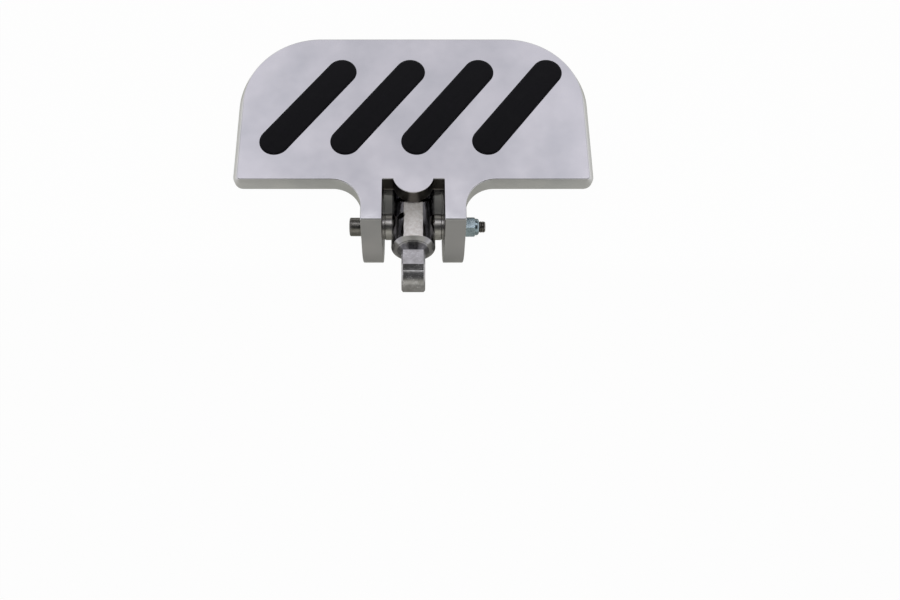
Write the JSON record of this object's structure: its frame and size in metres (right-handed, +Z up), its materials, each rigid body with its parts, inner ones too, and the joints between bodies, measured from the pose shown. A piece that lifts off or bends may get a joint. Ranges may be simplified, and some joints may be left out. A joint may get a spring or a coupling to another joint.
{
  "type": "motorcycle floorboard",
  "caption": "Folding passenger floorboard: a D-shaped polished plate with slanted rubber inlays, hinged by a clevis on a pivot block whose mount tongue takes a clevis pin.",
  "frame": {"origin": "centre of the clevis pin's bore in the mount tongue", "axes": "+X along the pin's bore and the pivot bolt, +Y outboard from the machine, +Z up, square to the plate's top"},
  "size_m": [0.244, 0.1864, 0.0622],
  "materials": {
    "polished_aluminium": "polished and chromed casting",
    "rubber": "smooth moulded black rubber",
    "polished_steel": "polished turned steel",
    "zinc_steel": "pale blue zinc plate",
    "steel": "plain steel",
    "black_steel": "black oxide",
    "nylon": "natural nylon"
  },
  "bodies": {
    "mount": {"tongue_mount": "polished_steel"},
    "block": {"pivot_block": "polished_steel", "level_screw": "black_steel", "tension_screw": "black_steel", "tension_pad": "nylon", "spacer_left": "steel", "spacer_right": "steel", "pivot_bush_left": "steel", "pivot_bush_right": "steel"},
    "board": {"board_plate": "polished_aluminium", "rubber_inlay_1": "rubber", "rubber_inlay_2": "rubber", "rubber_inlay_3": "rubber", "rubber_inlay_4": "rubber", "pivot_bolt": "steel", "lock_nut": "zinc_steel", "lock_nut_insert": "nylon", "bolt_washer": "zinc_steel", "nut_washer": "zinc_steel", "thrust_washer_left": "steel", "thrust_washer_right": "steel"}
  },
  "joints": [
    {"name": "level_swivel", "type": "hinge", "parent": "mount", "child": "block", "pos_m": [0, 0, 0], "axis": [0, 0.9744, -0.225], "range_deg": [-15, 15]},
    {"name": "fold_hinge", "type": "hinge", "parent": "block", "child": "board", "pos_m": [0, 0.03995, -0.00922], "axis": [1, 0, 0], "range_deg": [-13, 64]}
  ]
}
